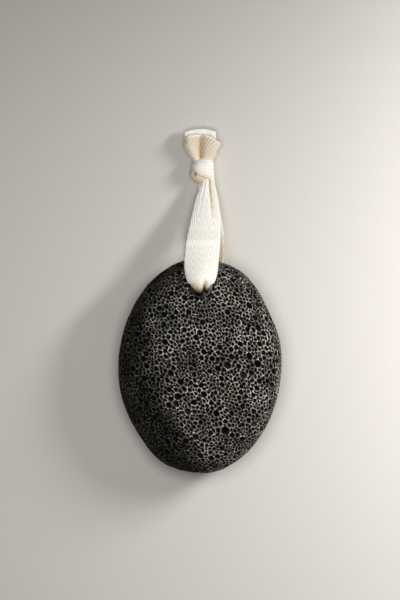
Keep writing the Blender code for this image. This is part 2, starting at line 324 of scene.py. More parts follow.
def worn(points):
    """The points of the smooth form moved inwards where the stone is worn."""
    moved = points.copy()
    for place, depth, spread in WORN_PLACES:
        away = unit(moved)
        angle = np.arccos(np.clip(away @ unit(np.array(place)), -1.0, 1.0))
        moved = moved - away * (depth * bell(angle, 0.0, spread))[:, None]
    return moved


def rested(points):
    """The points kept above the flat face that the stone rests on."""
    moved = points.copy()
    moved[:, 2] = np.maximum(moved[:, 2], -HALF_SIZE[2] + REST_DEPTH)
    return moved


def outside(points):
    return rested(worn(skin(points)))


def outward(points):
    """Unit normals of the smooth form near the points."""
    scaled = points / HALF_SIZE
    flat = np.hypot(scaled[:, 0], scaled[:, 1]) + TINY
    slope = np.empty_like(points)
    slope[:, 0] = flat ** (FULLNESS - 2.0) * scaled[:, 0] / HALF_SIZE[0]
    slope[:, 1] = flat ** (FULLNESS - 2.0) * scaled[:, 1] / HALF_SIZE[1]
    slope[:, 2] = np.abs(scaled[:, 2]) ** (FULLNESS - 1.0) * np.sign(scaled[:, 2]) / HALF_SIZE[2]
    return unit(slope)


def to_world(points):
    """From the stone's own frame to the part's frame."""
    return points @ STONE_TURN + STONE_LIFT


def from_world(points):
    return (points - STONE_LIFT) @ STONE_TURN.T


def bearing_round_hole(points):
    away = points[:, :2] - OWN_HOLE_PLACE
    return np.arctan2(away[:, 1], away[:, 0])


def spot_at(x, y, side=1.0):
    """The point of the smooth form over (or under, for side -1) a world x and y."""
    own_x = x * math.cos(LEAN) + y * math.sin(LEAN)
    own_y = -x * math.sin(LEAN) + y * math.cos(LEAN)
    flat = math.hypot(own_x / HALF_SIZE[0], own_y / HALF_SIZE[1])
    high = (1.0 - min(flat, 1.0) ** FULLNESS) ** (1.0 / FULLNESS)
    return np.array((own_x, own_y, side * high * HALF_SIZE[2]))


def evened(points):
    """The points squeezed along the pores' long line, where pores are round."""
    along = points @ PORE_LINE
    return points - np.outer(along * (1.0 - 1.0 / PORE_STRETCH), PORE_LINE)


def unevened(points):
    along = points @ PORE_LINE
    return points + np.outer(along * (PORE_STRETCH - 1.0), PORE_LINE)


# ================================================================ stone pores

def scatter_pores(rng):
    """Places and rooms of the pores: the hole's two mouths, the big pits, then the rest."""
    fixed = [(spot_at(*HOLE_PLACE, 1.0), HOLE_ROOM), (spot_at(*HOLE_PLACE, -1.0), HOLE_ROOM)]
    for column, row, room, _, _ in BIG_PITS:
        fixed.append((spot_at(*pixel_place(column, row)), room * MM))
    total = sum(tries for _, tries in PORE_TRIES)
    spots = np.zeros((len(fixed) + total, 3))
    rooms = np.zeros(len(fixed) + total)
    count = len(fixed)
    spots[:count] = [spot for spot, _ in fixed]
    rooms[:count] = [room for _, room in fixed]
    even = evened(spots)
    for radius, tries in PORE_TRIES:
        thrown = skin(unit(rng.normal(size=(tries, 3))) * HALF_SIZE)
        thrown_even = evened(thrown)
        room = radius * MM * rng.uniform(1.0 - ROOM_SPREAD, 1.0 + ROOM_SPREAD, tries)
        for index in range(tries):
            gap = even[:count] - thrown_even[index]
            far = np.einsum("ij,ij->i", gap, gap)
            if np.all(far > (rooms[:count] + room[index]) ** 2):
                spots[count] = thrown[index]
                even[count] = thrown_even[index]
                rooms[count] = room[index]
                count += 1
    return spots[:count], rooms[:count]


def opposite_angle(loop):
    """The angle of a triangle that faces the loop's edge."""
    corner = loop.link_loop_prev.vert.co
    return (loop.vert.co - corner).angle(loop.link_loop_next.vert.co - corner)


def joined_triangles(spots):
    """A closed mesh of near-even triangles whose vertices are the pores' places."""
    mesh = bmesh.new()
    for spot in unit(spots / HALF_SIZE):
        mesh.verts.new(spot)
    mesh.verts.index_update()
    bmesh.ops.convex_hull(mesh, input=mesh.verts)
    for vertex, spot in zip(mesh.verts, evened(spots)):
        vertex.co = spot / MM
    for _ in range(FLIP_PASSES):
        turned = 0
        for edge in list(mesh.edges):
            if edge.is_valid and sum(opposite_angle(loop) for loop in edge.link_loops) > math.pi + FLIP_SLACK:
                turned += bmesh.utils.edge_rotate(edge, True) is not None
        if turned == 0:
            break
    mesh.faces.index_update()
    mesh.edges.index_update()
    return mesh


def wall_corners(triangles, spots, rooms):
    """Where the walls of three neighbouring pores meet, for each triangle."""
    places = evened(spots)
    first, second, third = (triangles[:, index] for index in range(3))
    edge_a = places[second] - places[first]
    edge_b = places[third] - places[first]
    aa = np.einsum("ij,ij->i", edge_a, edge_a)
    bb = np.einsum("ij,ij->i", edge_b, edge_b)
    ab = np.einsum("ij,ij->i", edge_a, edge_b)
    power_a = 0.5 * (aa - rooms[second] ** 2 + rooms[first] ** 2)
    power_b = 0.5 * (bb - rooms[third] ** 2 + rooms[first] ** 2)
    spread = aa * bb - ab * ab
    part_a = (power_a * bb - power_b * ab) / spread
    part_b = (power_b * aa - power_a * ab) / spread
    corner = places[first] + part_a[:, None] * edge_a + part_b[:, None] * edge_b
    middle = (places[first] + places[second] + places[third]) / 3.0
    trio = rooms[triangles]
    share = CORNER_EVENING * (trio.min(axis=1) / trio.max(axis=1)) ** 2
    return unevened(corner + share[:, None] * (middle - corner))


def rings_round(mesh, triangle_count):
    """For every pore, the wall points round it in order: corners and wall middles."""
    cell, ridge, follower = [], [], []
    for vertex in mesh.verts:
        first = vertex.link_loops[0]
        loop = first
        start = len(cell)
        while True:
            ridge.append(loop.face.index)
            ridge.append(triangle_count + loop.link_loop_prev.edge.index)
            loop = loop.link_loop_prev.link_loop_radial_next
            if loop == first:
                break
        size = len(ridge) - start
        cell.extend([vertex.index] * size)
        follower.extend(list(range(start + 1, start + size)) + [start])
    return np.array(cell), np.array(ridge), np.array(follower)


def ripple(points, rng, lengths, count=5):
    """A smooth random field from -1 to 1 over the points."""
    total = np.zeros(len(points))
    for _ in range(count):
        wave = unit(rng.normal(size=3)) * (math.tau / rng.uniform(*lengths))
        total += np.sin(points @ wave + rng.uniform(0.0, math.tau))
    return total / math.sqrt(2.0 * count)


def cell_mean(values, cell, count):
    total = np.zeros((count, values.shape[1]))
    np.add.at(total, cell, values)
    return total / np.bincount(cell, minlength=count)[:, None]


def wall_drops(base, is_corner, near_hole, rng):
    """How far each wall point is under the highest crests, in mm: some chipped, some broken down."""
    sunk = np.where(is_corner, np.abs(rng.normal(0.0, CORNER_CHIP, len(base))),
                    rng.exponential(WALL_CHIP, len(base)))
    sunk = np.minimum(sunk, MOST_CHIP)
    broken = (~is_corner) & (rng.random(len(base)) < BROKEN_SHARE)
    sunk[broken] += rng.uniform(*BROKEN_DROP, broken.sum())
    sunk += SWELL * (1.0 + ripple(base, rng, SWELL_LENGTHS))
    sunk[near_hole] = np.clip(sunk[near_hole], *HOLE_EDGE_DROP)
    return sunk


def pore_mouths(base, rings, centre, rng):
    """The points round each pore's mouth, inside its ring of walls, and their radii."""
    cell, ridge, _ = rings
    arm = base[ridge] - centre[cell]
    reach = np.linalg.norm(arm, axis=1)
    half_wall = WALL * rng.uniform(*WALL_VARIES, len(centre))
    inner = np.maximum(reach - half_wall[cell], LEAST_MOUTH * reach)
    usual = cell_mean(inner[:, None], cell, len(centre))[:, 0]
    radius = (1.0 - ROUNDING) * inner + ROUNDING * np.minimum(inner, usual[cell])
    share = rng.uniform(*MOUTH_SHARE, len(centre))
    share[:HOLE_CELLS] = 1.0
    radius *= share[cell] * rng.uniform(*MOUTH_UNEVEN, len(cell))
    return centre[cell] + arm * (radius / reach)[:, None], radius


def pore_floors(centre, mouth, radius, rings, height, rng):
    """The foot of each pore's wall on the form and in place, its bed, and the floor's tone, dark as painted
    shade.
    """
    cell, ridge, _ = rings
    count = len(centre)
    normal = outward(centre)
    depth_share = rng.uniform(*DEEP_FLOOR, count)
    shallow = rng.random(count) < SHALLOW_SHARE
    depth_share[shallow] = rng.uniform(*SHALLOW_FLOOR, shallow.sum())
    tone = np.where(shallow, rng.uniform(*SHALLOW_TONE, count), rng.uniform(*DEEP_TONE, count))
    for index, (_, _, _, pit_depth, pit_tone) in enumerate(BIG_PITS, start=HOLE_CELLS):
        depth_share[index] = pit_depth
        tone[index] = pit_tone
    usual = cell_mean(radius[:, None], cell, count)[:, 0]
    depth = depth_share * usual
    lean = rng.normal(0.0, FLOOR_LEAN, (count, 3)) * usual[:, None]
    lean -= normal * np.einsum("ij,ij->i", lean, normal)[:, None]
    narrow = rng.uniform(*FLOOR_WIDTH, count)
    corner = np.arange(0, len(cell), 2)
    low = cell[corner]
    share = narrow[low] * rng.uniform(*FOOT_UNEVEN, len(low))
    foot = centre[low] + (mouth[corner] - centre[low]) * share[:, None]
    drop = depth[low] * rng.uniform(*FOOT_DEPTH, len(low)) - height[ridge[corner]]
    foot_point = rested(outside(skin(foot)) + 0.5 * lean[low] - normal[low] * drop[:, None])
    bed = outside(centre) + lean - normal * (depth * rng.uniform(*BED_DEPTH, count))[:, None]
    return foot, foot_point, bed, tone


def pore_faces(rings, kept, base_count, wide):
    """Faces between crests, rims, feet and beds, the pore of each, and the rims' numbers."""
    cell, ridge, follower = rings
    corner = np.arange(0, len(cell), 2)  # the slots go corner, middle, corner, middle
    middle = corner + 1
    ahead = follower[middle]
    low = cell[corner]
    rim_index = base_count + np.cumsum(kept) - 1
    foot_index = base_count + kept.sum() + np.arange(len(low))
    bed_index = foot_index[-1] + 1 + np.arange(len(wide))
    foot_next = foot_index[ahead // 2]
    ridge_a, ridge_m, ridge_b = ridge[corner], ridge[middle], ridge[ahead]
    rim_a, rim_m, rim_b = rim_index[corner], rim_index[middle], rim_index[ahead]
    wide = wide[low]
    small = ~wide
    pore = low >= HOLE_CELLS
    both = wide & pore
    quads, quad_cell = gather((
        ((ridge_a, ridge_m, rim_m, rim_a), wide),
        ((ridge_m, ridge_b, rim_b, rim_m), wide),
        ((rim_m, rim_b, foot_next, foot_index), both),
        ((ridge_m, ridge_b, rim_b, rim_a), small),
        ((rim_a, rim_b, foot_next, foot_index), small),
    ), low)
    fans, fan_cell = gather((
        ((rim_a, rim_m, foot_index), both),
        ((ridge_a, ridge_m, rim_a), small),
        ((foot_index, foot_next, bed_index[low]), pore),
    ), low)
    return quads, quad_cell, fans, fan_cell, rim_index


def wall_tones(sunk, is_corner, near_hole, rings, kept, floor_tone, rng):
    """Tones of the crests, rims, feet and beds, in that order: random tone, with painted shade on sunk walls,
    down into the pores and round the drilled hole.
    """
    cell, ridge, _ = rings
    pale = np.where(is_corner, rng.uniform(*CORNER_TONE, len(sunk)), rng.uniform(*WALL_TONE, len(sunk)))
    # Painted shade on the walls round the drilled hole
    pale[near_hole] *= HOLE_EDGE_TONE
    # Painted shade: walls that sit lower are darker
    shade = pale * (1.0 - SUNK_DARKENS * np.maximum(sunk, 0.0))
    rim_tone = np.clip(RIM_TONE * shade[ridge], *RIM_TONE_LIMITS)
    # Painted shade on the drilled hole's own edge
    rim_tone[cell < HOLE_CELLS] = HOLE_RIM_TONE
    return np.concatenate((
        np.clip(shade, *CREST_TONE_LIMITS),
        rim_tone[kept],
        FOOT_TONE + FOOT_FOLLOWS * floor_tone[cell[::2]],
        floor_tone,
    ))


def build_stone(rng):
    spots, rooms = scatter_pores(rng)
    mesh = joined_triangles(spots)
    triangles = np.array([[vertex.index for vertex in face.verts] for face in mesh.faces])
    ends = np.array([[face.index for face in edge.link_faces] for edge in mesh.edges])
    rings = rings_round(mesh, len(triangles))
    mesh.free()
    cell, ridge, _ = rings

    corners = wall_corners(triangles, spots, rooms)
    base = np.vstack((corners, 0.5 * (corners[ends[:, 0]] + corners[ends[:, 1]])))
    base = clear_of_hole(skin(base))
    is_corner = np.arange(len(base)) < len(corners)
    near_hole = np.zeros(len(base), bool)
    near_hole[ridge[cell < HOLE_CELLS]] = True
    facing = outward(base)
    sunk = wall_drops(base, is_corner, near_hole, rng)
    height = (CREST_RISE - sunk) * MM
    crest = rested(outside(base) + facing * height[:, None])

    centre = skin(cell_mean(base[ridge], cell, len(spots)))
    mouth, radius = pore_mouths(base, rings, centre, rng)
    rim_height = height[ridge] - rng.uniform(*RIM_DROP, len(cell)) * MM
    rim = rested(outside(skin(mouth)) + facing[ridge] * rim_height[:, None])
    foot, foot_point, bed, floor_tone = pore_floors(centre, mouth, radius, rings, height, rng)

    # small pores have no rim points at the middles of their walls
    wide = rooms > WIDE_ROOM
    kept = wide[cell] | (np.arange(len(cell)) % 2 == 0)
    quads, quad_cell, fans, fan_cell, rim_index = pore_faces(rings, kept, len(base), wide)
    points = np.vstack((crest, rim[kept], foot_point, bed))
    prints = np.vstack((base, mouth[kept], foot, centre))
    lit_side = lit_side_share(prints, rng)
    tone = wall_tones(sunk, is_corner, near_hole, rings, kept, floor_tone, rng)
    # Painted shade on the lower left side, turned from the key lamp
    tone *= SHADED_SIDE_SHARE + (1.0 - SHADED_SIDE_SHARE) * lit_side
    side = centre[:, 2] >= 0.0
    return foam_mesh(points, prints, tone, quads, side[quad_cell], fans, side[fan_cell],
                     rim_index[cell == 0], rim_index[cell == 1])


def gather(parts, owner):
    """Faces from columns of vertex numbers, each part for the slots where its test holds."""
    faces = [np.stack([column[test] for column in columns], axis=1) for columns, test in parts]
    return np.vstack(faces), np.concatenate([owner[test] for _, test in parts])


def lit_side_share(prints, rng):
    """How far each place is on the lit side of the painted shade's edge, from 0 to 1."""
    world = to_world(skin(prints))
    inside = np.full(len(world), 1.0)
    for (x_a, y_a), (x_b, y_b) in zip(SHADE_EDGE[:-1], SHADE_EDGE[1:]):
        start = np.array(pixel_place(x_a, y_a))
        run = unit(np.array(pixel_place(x_b, y_b)) - start)
        across = (world[:, :2] - start) @ np.array((run[1], -run[0]))
        inside = np.minimum(inside, across)
    inside += SHADE_EDGE_WOBBLE * ripple(prints, rng, SHADE_EDGE_WOBBLE_LENGTHS)
    return np.clip(0.5 + inside / SHADE_EDGE_SOFTNESS, 0.0, 1.0)


def clear_of_hole(base):
    """Wall points pushed out of the drilled hole, so that its edge is clean."""
    world = to_world(base)
    away = world[:, :2] - np.array(HOLE_PLACE)
    far = np.linalg.norm(away, axis=1)
    least = HOLE_RADIUS + HOLE_CLEARANCE
    close = far < least
    world[close, :2] = np.array(HOLE_PLACE) + away[close] * (least / far[close])[:, None]
    return skin(from_world(world))


def closed_ring(ring, angle):
    """A ring's points and angles in order, with the first point again at the end."""
    order = np.argsort(angle)
    return np.append(ring[order], ring[order[0]]), np.append(angle[order], angle[order[0]] + math.tau)


def stitched(ring_a, angle_a, ring_b, angle_b):
    """Triangles between two closed rings of points, paired by their angles."""
    ring_a, angle_a = closed_ring(ring_a, angle_a)
    ring_b, angle_b = closed_ring(ring_b, angle_b)
    faces = []
    i, j = 0, 0
    while i + 1 < len(ring_a) or j + 1 < len(ring_b):
        if j + 1 == len(ring_b) or (i + 1 < len(ring_a) and angle_a[i + 1] <= angle_b[j + 1]):
            faces.append((ring_a[i], ring_b[j], ring_a[i + 1]))
            i += 1
        else:
            faces.append((ring_a[i], ring_b[j], ring_b[j + 1]))
            j += 1
    return faces


def bore_wall(points, top_ring, low_ring):
    """The drilled hole's wall: cut pores all over it, between its two mouths."""
    angles = np.linspace(-math.pi, math.pi, BORE_COLUMNS, endpoint=False)
    top_angles, low_angles = bearing_round_hole(points[top_ring]), bearing_round_hole(points[low_ring])
    tops = np.interp(angles, top_angles, points[top_ring, 2], period=math.tau)
    lows = np.interp(angles, low_angles, points[low_ring, 2], period=math.tau)
    wall, tones = [], []
    for row in range(BORE_ROWS):
        share = (row + 0.5) / BORE_ROWS
        for angle, top, low in zip(angles, tops, lows):
            place = Vector((HOLE_RADIUS * math.cos(angle), HOLE_RADIUS * math.sin(angle),
                            top + (low - top) * share))
            near = noise_tools.voronoi(place / BORE_PORE)[0][0]
            pit = max(0.0, 1.0 - near / BORE_PIT_WIDTH)
            place.x *= 1.0 + BORE_PIT_DEPTH * pit
            place.y *= 1.0 + BORE_PIT_DEPTH * pit
            wall.append((place.x + OWN_HOLE_PLACE[0], place.y + OWN_HOLE_PLACE[1], place.z))
            # Painted shade: near black, darker still in the pits
            tones.append(BORE_TONE * (1.0 - pit))
    first = len(points)
    grid = first + np.arange(BORE_ROWS * BORE_COLUMNS).reshape(BORE_ROWS, BORE_COLUMNS)
    top_faces = stitched(top_ring, top_angles, grid[0], angles)
    low_faces = stitched(grid[-1], angles, low_ring, low_angles)
    return np.array(wall), np.array(tones), tube_quads(grid), np.array(top_faces + low_faces)


def sheet_place(prints, side):
    """Where a point of the form lies on the flattened skin, in metres from its disc's middle."""
    direction = unit(prints / HALF_SIZE)
    up = np.where(side, direction[:, 2], -direction[:, 2])
    share = np.arccos(np.clip(up, -1.0, 1.0)) / (0.5 * math.pi)
    flat = np.hypot(direction[:, 0], direction[:, 1]) + TINY
    place = direction[:, :2] / flat[:, None] * share[:, None] * SKIN_REACH
    place[:, 0] += np.where(side, TOP_DISC, LOW_DISC) * SKIN_SHEET
    place[:, 1] += SKIN_REACH[1] + SKIN_MARGIN
    return place


def bore_place(points):
    """Where a point of the drilled hole's wall lies on the flattened skin."""
    return np.stack((bearing_round_hole(points) * HOLE_RADIUS, points[:, 2]), axis=1) + BORE_CORNER


def foam_mesh(points, prints, tone, quads, quad_side, fans, fan_side, top_ring, low_ring):
    """One closed mesh of the skin and the hole's wall, with its flat map and its tones."""
    wall, wall_tone, wall_quads, wall_fans = bore_wall(points, top_ring, low_ring)
    points = np.vstack((points, wall))
    parts = (quads, fans, wall_quads, wall_fans)
    used = np.unique(np.concatenate([part.ravel() for part in parts]))
    number = np.zeros(len(points), int)
    number[used] = np.arange(len(used))
    faces = [face for part in parts for face in number[part].tolist()]
    mesh = bpy.data.meshes.new("stone_skin")
    mesh.from_pydata(to_world(points[used]).tolist(), [], faces)
    corner = np.concatenate((quads.ravel(), fans.ravel()))
    side = np.concatenate((np.repeat(quad_side, 4), np.repeat(fan_side, 3)))
    bore_quads = bore_place(points[wall_quads.ravel()]).reshape(-1, 4, 2)
    bore_fans = bore_place(points[wall_fans.ravel()]).reshape(-1, 3, 2)
    for part in (bore_quads, bore_fans):  # a face across the seam stays in one piece
        torn = np.ptp(part[:, :, 0], axis=1) > math.pi * HOLE_RADIUS
        left = part[:, :, 0] < BORE_CORNER[0]
        part[:, :, 0] += np.where(torn[:, None] & left, math.tau * HOLE_RADIUS, 0.0)
    place = np.vstack((
        sheet_place(prints[corner], side), bore_quads.reshape(-1, 2), bore_fans.reshape(-1, 2)))
    layer = mesh.uv_layers.new(name="OFBake")
    layer.data.foreach_set("uv", (place / SKIN_SHEET).ravel())
    # Tone with painted shade: dark in the pores, round the drilled hole and on the lower left side
    tone_and_shade = mesh.attributes.new("tone_and_shade", "FLOAT", "POINT")
    tone_and_shade.data.foreach_set("value", np.concatenate((tone, wall_tone))[used])
    mesh.validate()
    mesh.shade_flat()
    return add_object("pumice_foam", mesh)


# ================================================================ tape

def smooth_row(rows, place):
    """Rows of values at places from 0 to 1 along rows, by a Catmull-Rom curve."""
    span = place * (len(rows) - 1)
    index = np.clip(span.astype(int), 0, len(rows) - 2)
    step = (span - index).reshape(-1, *([1] * (rows.ndim - 1)))
    before, start = rows[np.maximum(index - 1, 0)], rows[index]
    end, after = rows[index + 1], rows[np.minimum(index + 2, len(rows) - 1)]
    return 0.5 * (2 * start + (end - before) * step
                  + (2 * before - 5 * start + 4 * end - after) * step ** 2
                  + (3 * start - before - 3 * end + after) * step ** 3)


def grid_of(length, width=TAPE_WIDTH):
    """Shares along and across a strip, as two grids."""
    along = np.linspace(0.0, 1.0, round(length / GRID_STEP) + 1)
    across = np.linspace(-1.0, 1.0, round(width / GRID_STEP) + 1)
    return np.meshgrid(along, across, indexing="ij")


def herringbone(across):
    """Place within a rib column, in mm; the columns run to and fro across the tape."""
    from_edge = (across + 1.0) * 0.5 * TAPE_WIDTH
    return COLUMN_WIDTH - np.abs(from_edge % (2.0 * COLUMN_WIDTH) - COLUMN_WIDTH)


def strand_grid():
    """The strand's middle surface, its place in the weave and its share of tan, the painted warm shade, over
    1 for near-black painted shade.
    """
    along, across = grid_of(STRAND_LENGTH)
    rows = np.array(STRAND)
    line = smooth_row(rows, along[:, 0])
    ahead = smooth_row(rows, np.minimum(along[:, 0] + SLOPE_STEP, 1.0))
    behind = smooth_row(rows, np.maximum(along[:, 0] - SLOPE_STEP, 0.0))
    run = unit((ahead - behind)[:, 1:3])
    inward = np.stack((np.zeros(len(run)), -run[:, 1], run[:, 0]), axis=1)
    y, width, curl = line[:, 1:2], line[:, 3:4], line[:, 4:5]
    half = 0.5 * width * TAPE_WIDTH
    angle = across * curl
    front = (along < FRONT_SHARE).astype(float)
    gathered = np.clip((y - GATHER_FROM) / (GATHER_TO - GATHER_FROM), 0.0, 1.0)
    valley = across - (VALLEY_PLACE - VALLEY_DRIFT * gathered)
    fold = gathered * bell(valley, 0.0, VALLEY_WIDTH)
    ridges = RIDGE_HEIGHT * gathered * np.sin(across * RIDGE_TURNS * math.pi + RIDGE_START) ** 2
    turning = smooth_step(-y, -CREASE_FROM, -CREASE_TO)
    crease = turning * bell(across, CREASE_PLACE, CREASE_WIDTH)
    kink = KINK_HEIGHT * front * smooth_step(y, *KINK_RISE) * (1.0 - smooth_step(y, *KINK_FALL))
    rolled = half * (1.0 - np.cos(angle)) / curl
    dip = rolled + GATHER_DEPTH * fold + CREASE_DEPTH * crease - ridges - kink
    points = line[:, None, :3] + inward[:, None, :] * dip[:, :, None]
    points[:, :, 0] += half * np.sin(angle) / curl
    steps = np.linalg.norm(np.diff(line[:, :3], axis=0), axis=1)
    length = np.concatenate(((0.0,), np.cumsum(steps)))
    weave = np.stack((herringbone(across), np.broadcast_to(-length[:, None], across.shape)), axis=-1)
    # Painted warm shade in the gathered fold
    tan = VALLEY_SHADE * gathered * bell(valley, VALLEY_SHADE_PLACE, VALLEY_SHADE_WIDTH)
    # Painted shade where the strand turns down into the hole, more in the crease
    tan += front * turning * (CREASE_SHADE + crease)
    # Painted shadow of the front strand on the strand behind
    tan += (1.0 - front) * smooth_step(-y, -BACK_SHADOW_FROM, -BACK_SHADOW_TO)
    tan = np.clip(tan, 0.0, 1.0)
    # Painted shade, near black, in the hole's mouth, kept as tan over 1
    hole_shade = front * smooth_step(-y, -HOLE_SHADE_FROM, -HOLE_SHADE_TO)
    return points, weave, tan + hole_shade * (2.0 - tan)


def end_grid(shape, turns):
    """A cut end's middle surface, its place in the weave and its share of tan, the painted warm shade."""
    along, across = grid_of(END_LENGTH)
    columns = np.array(shape).transpose(1, 0, 2)
    outline = smooth_row(columns, 0.5 * (across[0] + 1.0)).transpose(1, 0, 2)
    values = smooth_row(outline, along[:, 0])
    weave = np.stack((np.interp(across, *turns), along * END_LENGTH), axis=-1)
    ragged = np.abs(np.sin(math.pi * across * 0.5 * TAPE_WIDTH / FRAY_PITCH)) - 0.5
    values[:, :, 1] += FRAY * ragged * along ** FRAY_POWER
    # Painted warm shade in the ends' folds, fading out at the tip
    tan = values[:, :, 3] * (1.0 - smooth_step(along, *TIP_FADE))
    return values[:, :, :3], weave, np.clip(tan, 0.0, MOST_SHADE)


def strip_shell(grid, origins):
    """A strip with thickness and rounded edges: its points, faces, flat map, weave and tan, the painted warm
    shade.
    """
    middle, weave, tan = grid
    rows, columns = middle.shape[:2]
    normal = unit(np.cross(np.gradient(middle, axis=1), np.gradient(middle, axis=0)))
    half = 0.5 * TAPE_THICKNESS
    edge = half * unit(np.gradient(middle, axis=1))
    ring = np.concatenate((
        middle + normal * half, middle[:, -1:] + edge[:, -1:],
        (middle - normal * half)[:, ::-1], middle[:, :1] - edge[:, :1]), axis=1)
    around = ring.shape[1]
    order = np.concatenate((np.arange(columns), [columns - 1], np.arange(columns)[::-1], [0]))
    index = np.arange(rows * around).reshape(rows, around)
    slot = np.tile(np.arange(around), rows - 1)
    row = np.repeat(np.arange(rows - 1), around)
    flat = np.stack((row, slot), axis=1)[:, None] + np.array(((0.0, 0.0), (0.0, 1.0), (1.0, 1.0), (1.0, 0.0)))
    run = len(origins) * (row / (rows - 1))
    part = np.minimum(run.astype(int), len(origins) - 1)
    flat[:, :, 0] -= (part * (rows - 1) / len(origins))[:, None]
    flat = flat * GRID_STEP + np.array(origins)[part][:, None, :]
    front, back = index[:, :columns], index[:, columns + 1:2 * columns + 1][:, ::-1]
    reach = (rows - 1) * GRID_STEP / len(origins)
    caps, cap_flat = [], []
    for row, near in ((0, True), (-1, False)):
        quads = np.stack((front[row, :-1], back[row, :-1], back[row, 1:], front[row, 1:]), axis=1)
        rims = np.array(((front[row, -1], back[row, -1], index[row, columns], index[row, columns]),
                         (back[row, 0], front[row, 0], index[row, -1], index[row, -1])))
        caps.append(np.vstack((quads, rims) if near else (quads[:, ::-1], rims[:, (1, 0, 2, 3)])))
        spot = np.array(origins[0]) if near else np.array(origins[-1]) + (reach, 0.0)
        cap_flat.append(np.tile(spot, (len(caps[-1]), 4, 1)))
    faces = np.vstack((tube_quads(index), *caps))
    flat = np.concatenate((flat, *cap_flat))
    return ring.reshape(-1, 3), faces, flat, weave[:, order].reshape(-1, 2), tan[:, order].ravel()


def knot_shell(origins):
    """The knot: a rounded lump, one turn of the tape standing over the other."""
    outline = np.array(KNOT_OUTLINE) - KNOT_MIDDLE[:2]
    bearing = np.arctan2(outline[:, 1], outline[:, 0])
    turn = np.linspace(-math.pi, math.pi, KNOT_COLUMNS, endpoint=False)
    reach = np.interp(turn, bearing, np.linalg.norm(outline, axis=1), period=math.tau)
    reach = sum(np.roll(reach, shift) for shift in (-2, -1, 0, 1, 2)) / 5.0
    rise = np.linspace(-0.5 * math.pi, 0.5 * math.pi, KNOT_RINGS + 1)[1:-1]
    flat = np.cos(rise[:, None]) ** KNOT_ROUNDNESS * reach
    height = np.repeat(KNOT_HALF_HEIGHT * np.sin(rise)[:, None], KNOT_COLUMNS, axis=1)
    away = np.stack((flat * np.cos(turn), flat * np.sin(turn), height), axis=-1)
    x, y = KNOT_MIDDLE[0] + away[:, :, 0], KNOT_MIDDLE[1] + away[:, :, 1]
    edge_height = np.interp(x, *np.array(KNOT_EDGE).T)
    over = y - edge_height
    step = smooth_step(over, -KNOT_EDGE_WIDTH, KNOT_EDGE_WIDTH)
    groove = bell(over, -KNOT_EDGE_WIDTH, KNOT_GROOVE_WIDTH)
    gap = bell(x, KNOT_GAP[0], KNOT_GAP_WIDTH) * bell(y, KNOT_GAP[1], KNOT_GAP_WIDTH)
    upper = smooth_step(height, *KNOT_UPPER)
    shift = upper * (KNOT_STEP * step - KNOT_GROOVE * groove - KNOT_GAP_DEPTH * gap)
    scale = 1.0 + shift / np.linalg.norm(away, axis=-1)
    points = KNOT_MIDDLE + away * scale[:, :, None]
    level = KNOT_ROWS * over / (KNOT_FAN - edge_height)
    weave = np.stack((level - x * (math.tan(RIB_ANGLE) + KNOT_TILT * over), x), axis=-1)
    # Painted warm shade on the lower turn, in the groove and in the gap
    turn_shade, groove_shade, gap_shade = KNOT_PAINTED_SHADES
    shaded = 1.0 - smooth_step(over, *KNOT_SHADE)
    tan = np.clip(upper * (turn_shade * shaded + groove_shade * groove), 0.0, 1.0) + gap_shade * upper * gap
    faces, flat_map = knot_faces(turn, rise, origins)
    return with_poles(points), faces, flat_map, with_poles(weave), with_poles(tan[:, :, None])[:, 0]


def knot_faces(turn, rise, origins):
    """The knot's faces, and their places on its two discs of the flat map."""
    index = np.arange(len(rise) * KNOT_COLUMNS).reshape(-1, KNOT_COLUMNS)
    low_pole, top_pole = np.full((2, KNOT_COLUMNS), ((index.size,), (index.size + 1,)))
    faces = np.vstack((
        tube_quads(index),
        np.stack((np.roll(index[0], -1), index[0], low_pole, low_pole), axis=-1),
        np.stack((index[-1], np.roll(index[-1], -1), top_pole, top_pole), axis=-1)))
    spread = 1.0 - np.abs(rise) / (0.5 * math.pi)
    disc = KNOT_DISC * np.stack((np.cos(turn), np.sin(turn)), axis=-1) * spread[:, None, None]
    disc = np.vstack((disc.reshape(-1, 2), np.zeros((2, 2))))
    side_rows = np.repeat(rise[:-1] >= -TINY, KNOT_COLUMNS)
    above = np.concatenate((side_rows, np.repeat((False, True), KNOT_COLUMNS)))
    return faces, disc[faces] + np.where(above[:, None, None], origins[0], origins[1])


def with_poles(rings):
    """Rows of values on rings, then their means on the lowest and the highest ring."""
    return np.vstack((rings.reshape(-1, rings.shape[-1]), rings[0].mean(axis=0), rings[-1].mean(axis=0)))


